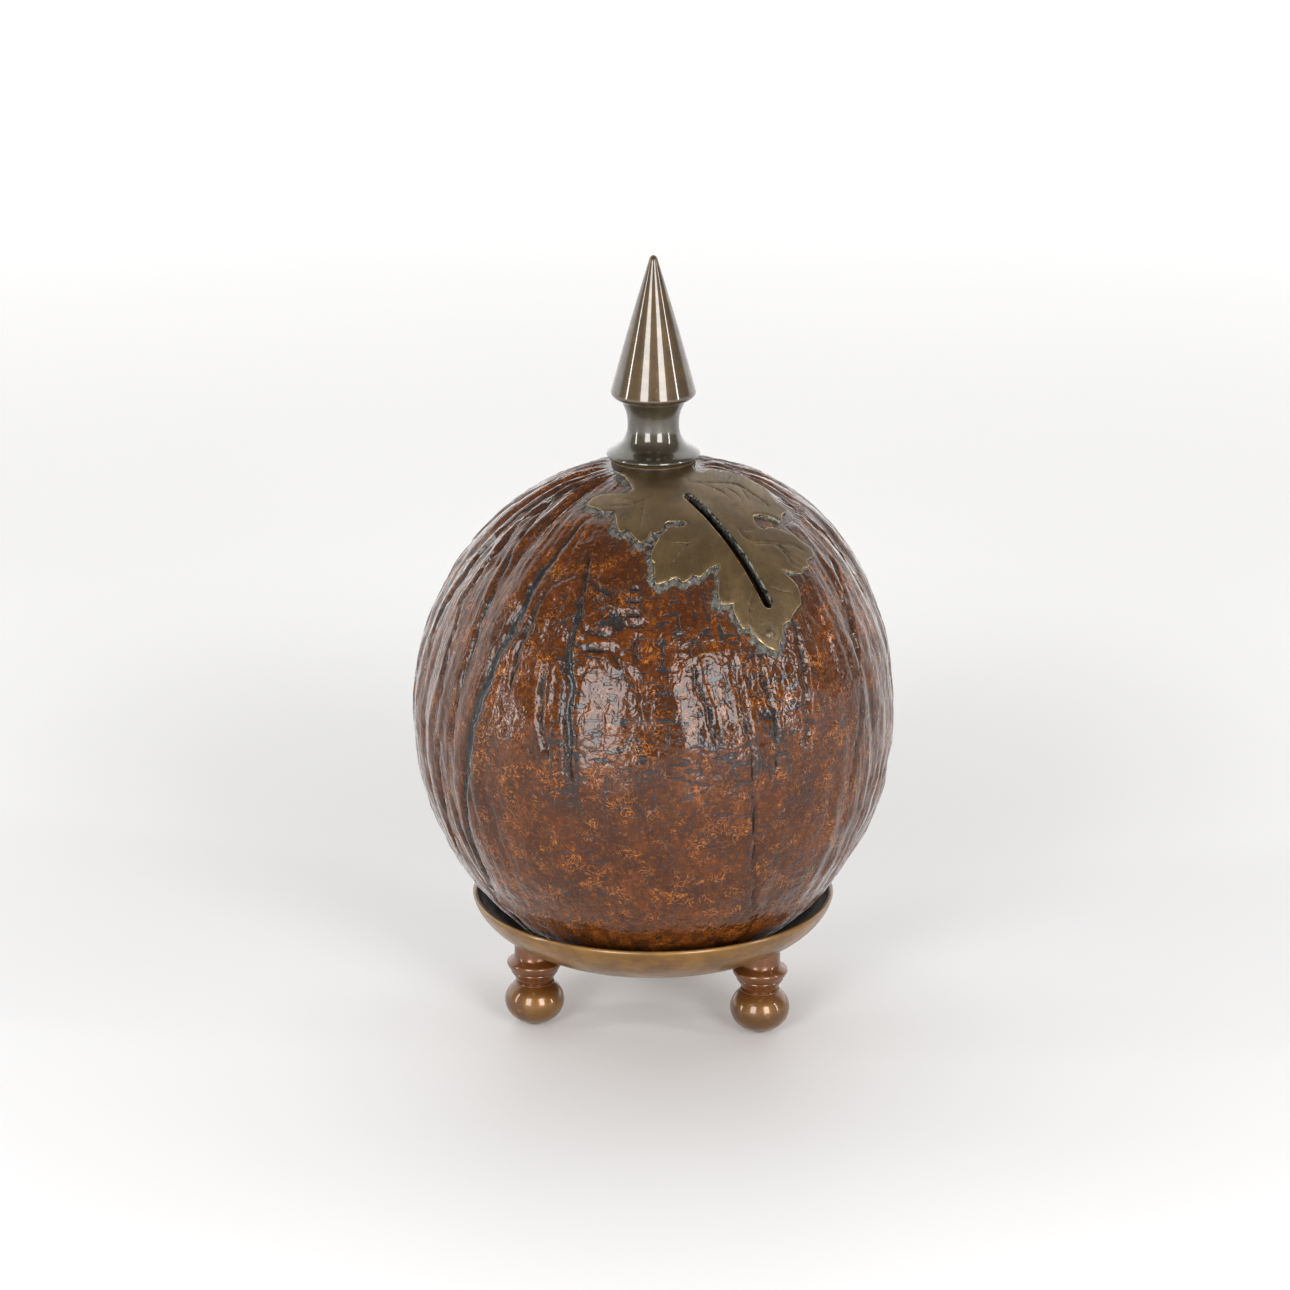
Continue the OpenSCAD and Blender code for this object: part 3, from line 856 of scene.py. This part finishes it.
def mark_nut(piece):
    """Marks the nut's cracks, folds, dirt with painted shade near the leaf and collar, and bands
    for its material.
    """
    points = np.zeros(len(piece.data.vertices) * 3)
    piece.data.vertices.foreach_get("co", points)
    points = points.reshape(-1, 3) / MM
    azimuth, elevation, above = nut_place(points)
    # Painted shade and dirt: the skin is darkened near the leaf's edge and round the collar.
    near_leaf = np.exp(-np.clip(leaf_distance(points) - 0.8, 0, None) / 2.0)
    r = np.hypot(points[:, 0], points[:, 1])
    near_collar = np.exp(-np.clip(r - COLLAR_R, 0, None) / 1.5) * (points[:, 2] > NUT_MIDDLE_Z)
    degrees, rise = np.degrees(azimuth), np.degrees(elevation)
    band = soft_step(-34, -22, degrees) * soft_step(52, 36, degrees)
    band = band * (0.4 + 0.6 * soft_step(-8, 6, rise))
    band = band * soft_step(-38, -26, rise) * soft_step(46, 36, rise)
    mark(piece,
         skin=spin(azimuth, np.full(len(azimuth), SKIN_R), elevation * SKIN_RISE),
         side=side_share(azimuth),
         crack=crack_distance(azimuth, elevation),
         crease=creases(azimuth, elevation),
         grime=np.maximum(near_leaf, near_collar),
         front=band,
         rim=soft_step(-37, -40, rise) * soft_step(-50, -46, rise),
         inner=soft_step(-1.8, -3.0, above))


# ---- the leaf and its mastic


def leaf_mesh(slot):
    """Flat points of the leaf's drawing and the faces between them, with points on the veins."""
    spacing, margin, clear = 0.55, 0.28, 0.22
    xs = np.arange(-24, 24.5, spacing)
    ys = np.arange(-29, 38, spacing * 0.87)
    grid = np.array([(x + (i % 2) * spacing / 2, y) for i, y in enumerate(ys) for x in xs])
    room = np.maximum(signed_distance(grid, OUTLINE), -signed_distance(grid, slot))
    grid = grid[room < -margin]
    lines = np.vstack([smooth_open(line) for _, line in VEINS])
    to_line = np.min(np.linalg.norm(grid[:, None] - lines[None], axis=2), axis=1)
    flat = np.vstack([OUTLINE, slot, grid[to_line > clear], lines])
    n_out, n_slot = len(OUTLINE), len(slot)
    edges = [(i, (i + 1) % n_out) for i in range(n_out)]
    edges += [(n_out + i, n_out + (i + 1) % n_slot) for i in range(n_slot)]
    places = [Vector(p) for p in flat.tolist()]
    corners, _, faces, *_ = delaunay_2d_cdt(places, edges, [], 0, 1e-6)
    flat = np.array([tuple(c) for c in corners])
    middles = np.array([flat[list(f)].mean(0) for f in faces])
    keep = (signed_distance(middles, OUTLINE) < 0) & (signed_distance(middles, slot) > 0)
    world = on_nut(flat, 0.0)
    mid_r = np.hypot(*np.array([world[list(f)].mean(0)[:2] for f in faces]).T)
    keep &= mid_r > COLLAR_R - 1.5
    return flat, [tuple(f) for f, k in zip(faces, keep) if k]


def build_leaf():
    """The engraved leaf, a thin closed plate bent over the nut."""
    slot = stadium(SLOT_L, SLOT_W)
    flat, faces = leaf_mesh(slot)
    count = len(flat)
    to_outline = np.abs(signed_distance(flat, OUTLINE))
    to_slot = np.abs(signed_distance(flat, slot))
    # edge feeds the leaf's bright edges, partly wear and partly a painted highlight; along the
    # slot it is narrower on the +x side.
    to_edge = np.minimum(to_outline, to_slot + 0.3 * (flat[:, 0] > 0))
    to_vein = np.full(count, 9.0)
    height = np.full(count, LEAF_TOP_H)
    for depth, line in VEINS:
        distance, along = polyline_distance(flat, smooth_open(line))
        fade = np.sqrt(np.clip(np.sin(np.pi * np.clip(along * 0.9 + 0.05, 0, 1)), 0, 1))
        height -= depth * fade * np.exp(-((distance / 0.26) ** 2))
        to_vein = np.minimum(to_vein, distance + (1 - fade) * 0.4)
    height -= 0.20 * (1 - soft_step(0.0, 0.40, to_outline)) ** 2
    height += 0.22 * noise.at(raised(flat) / 7.0 + 2.0) + 0.07 * noise.at(raised(flat) / 1.8 + 9.0)
    marks = {"edge": (to_edge, np.full(count, 4.0)), "wall": (np.zeros(count), np.ones(count)),
             "vein": (to_vein, np.full(count, 9.0))}
    make_plate("leaf_engraved", on_nut(flat, height), on_nut(flat, LEAF_UNDER_H), faces, marks,
               leaf_material(), "leaf_plate", sharp=60)


def bead_width(flat):
    """How far the mastic was squeezed out, most on the leaf's lower left and in its notches."""
    left = soft_step(4, -6, flat[:, 0] + 0.15 * flat[:, 1])
    rough = noise.at(raised(flat) / 4.0 + 7.0) + 0.5 * noise.at(raised(flat) / 1.4 + 3.0)
    return 0.8 + 2.2 * left + 3.0 * rough * (0.35 + left)


def build_mastic():
    """The putty under the leaf and the crumbly bead of it round the leaf's edge."""
    step = 0.36
    xs = np.arange(-27, 27, step)
    ys = np.arange(-32, 41, step)
    flat = np.array([(x, y) for y in ys for x in xs])
    outside = signed_distance(flat, OUTLINE)
    in_slot = signed_distance(flat, stadium(SLOT_L + 0.6, SLOT_W + 0.6))
    width = np.clip(bead_width(flat), 0.25, 4.2)
    crumbs = noise.layers(raised(flat) / 1.5 + 1.0, 3, 0.7)
    slope = 1 - soft_step(0.0, 1.0, (outside + 0.2) / (width + 0.2))
    height = -0.5 + 1.25 * slope + 0.9 * crumbs * np.sqrt(slope)
    height = np.where(outside < -0.25, 0.34, height)
    world_r = np.hypot(*on_nut(flat, 0.0)[:, :2].T)
    kept_point = (outside < width + 0.4) & (in_slot > 0) & (world_r > COLLAR_R - 1.0)
    columns = len(xs)
    starts = [j * columns + i for j in range(len(ys) - 1) for i in range(columns - 1)]
    quads = [(a, a + 1, a + columns + 1, a + columns) for a in starts]
    faces = [quad for quad in quads if all(kept_point[k] for k in quad)]
    make_plate("mastic_bead", on_nut(flat, height), on_nut(flat, MASTIC_UNDER_H), faces,
               {"spread": (outside, outside)}, mastic_material(), "leaf_bedding")


def build_pin():
    """Flat riveted pin with a ring round its head."""
    profile = [(0, 0.34), (0.5, 0.33), (0.85, 0.24), (0.98, 0.10), (1.12, 0.06), (1.25, 0.14),
               (1.38, 0.10), (1.46, -0.15), (1.46, -0.5), (0, -0.5)]
    points, faces = lathe(profile, 48)
    base, centre = (on_nut(np.array([PIN]), height)[0] for height in (0.0, LEAF_TOP_H))
    axis = Vector(centre - base).normalized()
    turn = np.array(axis.to_track_quat("Z", "Y").to_matrix())
    make_piece("pin_riveted", points @ turn.T + centre, faces, MATERIALS["pin"], "shell",
               "leaf_pin", sharp=40)


# ---- turned brass

DISH_R, DISH_FLOOR_R, DISH_FLOOR_Z, DISH_RIM_Z, DISH_WALL = 45.9, 22.0, 17.6, 31.3, 1.4


def dish_height(r):
    """Height of the dish's outer curve at a radius."""
    sine = np.clip((r - DISH_FLOOR_R) / (DISH_R - DISH_FLOOR_R), 0, 1)
    return DISH_FLOOR_Z + (DISH_RIM_Z - DISH_FLOOR_Z) * (1 - (1 - sine**2) ** 0.6)


def dish_curve(inset, to_degrees):
    """The dish's curve as points of a profile, from its floor outwards."""
    floor_z = DISH_FLOOR_Z + inset
    reach, rise = DISH_R - DISH_FLOOR_R - inset, DISH_RIM_Z - floor_z
    angles = np.radians(np.linspace(0, to_degrees, 30))
    return [(DISH_FLOOR_R + reach * math.sin(a), floor_z + rise * (1 - math.cos(a) ** 1.2))
            for a in angles]


def build_dish():
    outer = dish_curve(0.0, 86)
    inner = dish_curve(DISH_WALL, 84)
    rim = [(45.75, 31.0), (45.55, 31.25), (45.2, 31.3), (44.8, 31.2)]
    scored = [(4.5, 17.6), (12.0, 17.6), (12.2, 17.72), (12.4, 17.6), (19.0, 17.6),
              (19.2, 17.72), (19.4, 17.6)]
    profile = scored + outer + rim + inner[::-1] + [(4.5, DISH_FLOOR_Z + DISH_WALL)]
    columns = 192
    piece = turned("dish_turned", profile, columns, "dish", "base", "base_dish", 35)
    inside = [row >= len(profile) - len(inner) for row in range(len(profile))]
    # Painted shade and dirt: the dish's inside, under the nut, is darkened.
    mark(piece, grime=np.repeat(np.array(inside, float), columns) * 0.85)


FOOT_START, FOOT_RING_R, FOOT_BALL_R, FOOT_BALL_Z = -35.5, 33.0, 7.5, 6.2


def build_foot(name, index):
    ball = [(FOOT_BALL_R * math.cos(a), FOOT_BALL_Z + FOOT_BALL_Z * math.sin(a))
            for a in np.radians(np.linspace(-73, 50, 26))]
    stem = [(4.95, 11.0), (5.0, 11.15), (4.9, 11.3), (4.4, 11.4), (4.4, 11.6), (5.65, 13.65),
            (5.85, 13.9), (5.9, 14.05), (5.85, 14.2), (5.95, 14.35), (6.75, 15.65),
            (6.95, 16.1), (6.95, 16.45), (6.75, 16.8), (5.65, 17.5), (5.25, 17.9),
            (5.1, 18.4), (5.05, 19.1)]
    angle = math.radians(FOOT_START + 120 * index)
    centre = (FOOT_RING_R * math.cos(angle), FOOT_RING_R * math.sin(angle))
    profile = [(0, 0), (2.2, 0.05)] + ball + stem + [(5.05, 30), (0, 30)]
    points, faces = lathe(profile, 96, centre)
    high = points[:, 2] > 18.0
    reach = np.hypot(points[:, 0], points[:, 1])
    points[high, 2] = np.minimum(points[high, 2], dish_height(reach[high]) + 0.6)
    piece = make_piece(name + "_turned", points, faces, MATERIALS["foot"], "base",
                       name, sharp=32)
    mark(piece, ruddy=soft_step(7.5, 12.5, points[:, 2]))


def build_collar():
    low, seat, top = 131.2, 142.42, 144.7
    profile = [(3.05, low), (TUBE_R - 0.05, low), (TUBE_R - 0.05, seat), (10.3, seat),
               (10.45, 142.8), (10.5, 143.6), (10.7, 144.2), (10.72, 144.5), (10.5, 144.68),
               (3.05, top)]
    turned("collar_turned", profile, 144, "collar", "shell", "ferrule", 40)


SPOOL_Z, SPOOL_H, SPIRE_H = 145.1, 14.5, 36.2
SPIRE_Z = SPOOL_Z + SPOOL_H


def build_spool():
    side = smooth_open([(11.25, 0.1), (11.5, 0.3), (11.6, 0.65), (11.45, 1.05), (11.0, 1.45),
                        (10.1, 2.0), (8.75, 2.8), (7.65, 3.85), (6.95, 5.1), (6.5, 6.6),
                        (6.4, 8.2), (6.5, 9.9), (6.85, 11.5), (7.5, 13.1), (8.2, SPOOL_H)])
    profile = [(3.0, 0.0), (10.95, 0.0)] + side + [(3.0, SPOOL_H)]
    turned("spool_turned", [(r, z + SPOOL_Z) for r, z in profile], 160, "spool", "finial",
           "finial_spool", 40)


def build_spire():
    rim = smooth_open([(8.2, 0.02), (9.1, 0.25), (9.9, 0.75), (10.4, 1.4), (10.5, 2.0),
                       (10.3, 2.9)])
    side = [(10.3 - 9.2 * t + 0.18 * math.sin(math.pi * t), 2.9 + 32.1 * t)
            for t in np.linspace(0, 1, 26)[1:]]
    tip = [(0.98, 35.35), (0.78, 35.75), (0.5, 36.03), (0.25, 36.16), (0, SPIRE_H)]
    profile = [(3.0, 0.0)] + rim + side + tip
    inside = [(0, 13.0), (3.0, 13.0)]
    turned("spire_turned", [(r, z + SPIRE_Z) for r, z in inside + profile], 160, "spire",
           "finial", "finial_spire", 40)


def build_rod():
    """Tie rod with its thread on the lower end, as a helix of rings."""
    low, high, pitch, threaded, outer_r, groove = 17.0, 172.6, 1.25, 14.0, 2.98, 0.55
    rings_z = np.concatenate([np.arange(low, low + threaded, pitch / 10),
                              np.linspace(low + threaded, high, 40)])
    columns = 48
    angles = np.arange(columns) * 2 * math.pi / columns
    points = []
    for z in rings_z:
        phase = (z - low) / pitch - angles / (2 * math.pi)
        depth = groove * np.abs((phase % 1.0) * 2 - 1)
        depth = depth * soft_step(low + threaded, low + threaded - 1.5, z)
        start = 0.5 * soft_step(low + 0.8, low, z)
        points.append(spin(angles, outer_r - depth - start, np.full(columns, z)))
    points = np.vstack(points)
    faces = ring_faces(len(rings_z), columns, closed=False)
    last = (len(rings_z) - 1) * columns
    faces = [tuple(reversed(f)) for f in faces]
    faces += [tuple(range(columns))[::-1], tuple(last + j for j in range(columns))]
    make_piece("rod_threaded", points, faces, MATERIALS["rod"], "finial",
               "tie_rod", sharp=35)


def dress_cad():
    """Better materials for the CAD nodes that stay."""
    for node, material in (("base_boss", "boss"), ("boss_ring", "boss"),
                           ("ferrule_nut", "collar"), ("seat_ring", "leather"),
                           ("finial_washer", "leather")):
        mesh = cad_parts[node].data
        mesh.materials.clear()
        mesh.materials.append(MATERIALS[material])


# ---- stage, light and camera


def build_floor():
    points, faces = lathe([(0, 0.0), (900, 0.0), (9000, 0.0)], 96)
    floor = add_mesh("floor", points, faces)
    floor.data.materials.append(floor_material())


NUT_CENTRE = Vector((0, 0, 0.09))


def softbox(name, azimuth, rise, distance, width, height, power, mirrored=True):
    """Area light that faces the nut, at an azimuth turned from the camera's side."""
    turn, up = math.radians(azimuth), math.radians(rise)
    flat = distance * math.cos(up)
    place = NUT_CENTRE + Vector((flat * math.sin(turn), -flat * math.cos(turn),
                                 distance * math.sin(up)))
    light = bpy.data.lights.new(name, "AREA")
    light.shape = "RECTANGLE"
    light.size, light.size_y = width, height
    light.energy = power
    lamp = add_object(name, light)
    lamp.location = place
    lamp.rotation_euler = (NUT_CENTRE - place).to_track_quat("-Z", "Y").to_euler()
    lamp.visible_camera = False
    lamp.visible_glossy = mirrored


def build_lights():
    softbox("key_left", -25, 13, 1.0, 0.36, 0.62, 6.6)
    softbox("key_right", 27, 13, 1.0, 0.34, 0.62, 6.6)
    softbox("strip_left", -77, 14, 1.0, 0.07, 0.66, 2.4)
    softbox("strip_right", 70, 14, 1.0, 0.07, 0.66, 2.4)
    softbox("top_fill", 0, 88, 1.5, 1.3, 1.3, 2.0, mirrored=False)


def build_world():
    """White behind the object and dim on the camera's side; the camera itself sees plain white."""
    world = bpy.data.worlds.new("studio")
    world.use_nodes = True
    studio = Nodes(world.node_tree)
    way = studio.add("ShaderNodeTexCoord").outputs["Generated"]
    behind = studio.add("ShaderNodeVectorMath", {0: way, 1: (-0.10, 1.0, 0.0)},
                        operation="DOT_PRODUCT").outputs["Value"]
    room = studio.mix(studio.step(behind, 0.20, 0.46), (0.18, 0.165, 0.15, 1.0),
                      (1.55, 1.55, 1.55, 1.0))
    by_camera = studio.add("ShaderNodeLightPath").outputs["Is Camera Ray"]
    seen = studio.mix(by_camera, room, (1.0, 1.0, 1.0, 1.0))
    light = studio.add("ShaderNodeBackground", {"Color": seen}).outputs[0]
    studio.add("ShaderNodeOutputWorld", {"Surface": light})
    bpy.context.scene.world = world


def build_camera():
    """The camera, about 1.1 m in front of the object and looking a little down on it."""
    look_down, turn = 17.74, -0.112
    camera = bpy.data.cameras.new("camera")
    camera.lens = 129.9
    camera.sensor_width = 36
    camera.clip_end = 50
    eye = add_object("camera", camera)
    eye.location = (-0.00423, -1.1107, 0.4512)
    eye.rotation_euler = (math.radians(90 - look_down), 0, math.radians(turn))
    bpy.context.scene.camera = eye
    bpy.context.scene.view_settings.view_transform = "Standard"


MATERIALS = {
    "dish": brass_material("dish_brass", (138, 98, 40), (112, 77, 30), 0.14, 0.2, lacquer=0.5),
    "foot": brass_material("foot_brass", (126, 86, 31), (98, 62, 23), 0.09, 0.3, lacquer=0.6),
    "boss": brass_material("boss_brass", (172, 140, 90), (140, 108, 66), 0.30, 0.3),
    "collar": brass_material("collar_brass", (70, 48, 32), (48, 34, 25), 0.20, 0.2, lacquer=0.5),
    "spool": brass_material("spool_brass", (62, 56, 38), (48, 42, 27), 0.06, 0.15, 0.3, 0.45,
                            (150, 138, 112), 0.012),
    "spire": brass_material("spire_brass", (82, 62, 30), (62, 45, 21), 0.05, 0.15, 0.3, 0.45,
                            (176, 150, 110), 0.010),
    "pin": brass_material("pin_brass", (104, 86, 60), (80, 66, 46), 0.30, 0.3, lacquer=0.3),
    "leather": leather_material(),
    "rod": steel_material(),
}

build_nut()
build_leaf()
build_mastic()
build_pin()
build_dish()
for number, foot in enumerate(("foot_right", "foot_rear", "foot_left")):
    build_foot(foot, number)
build_collar()
build_spool()
build_spire()
build_rod()
dress_cad()
build_floor()
build_lights()
build_world()
build_camera()
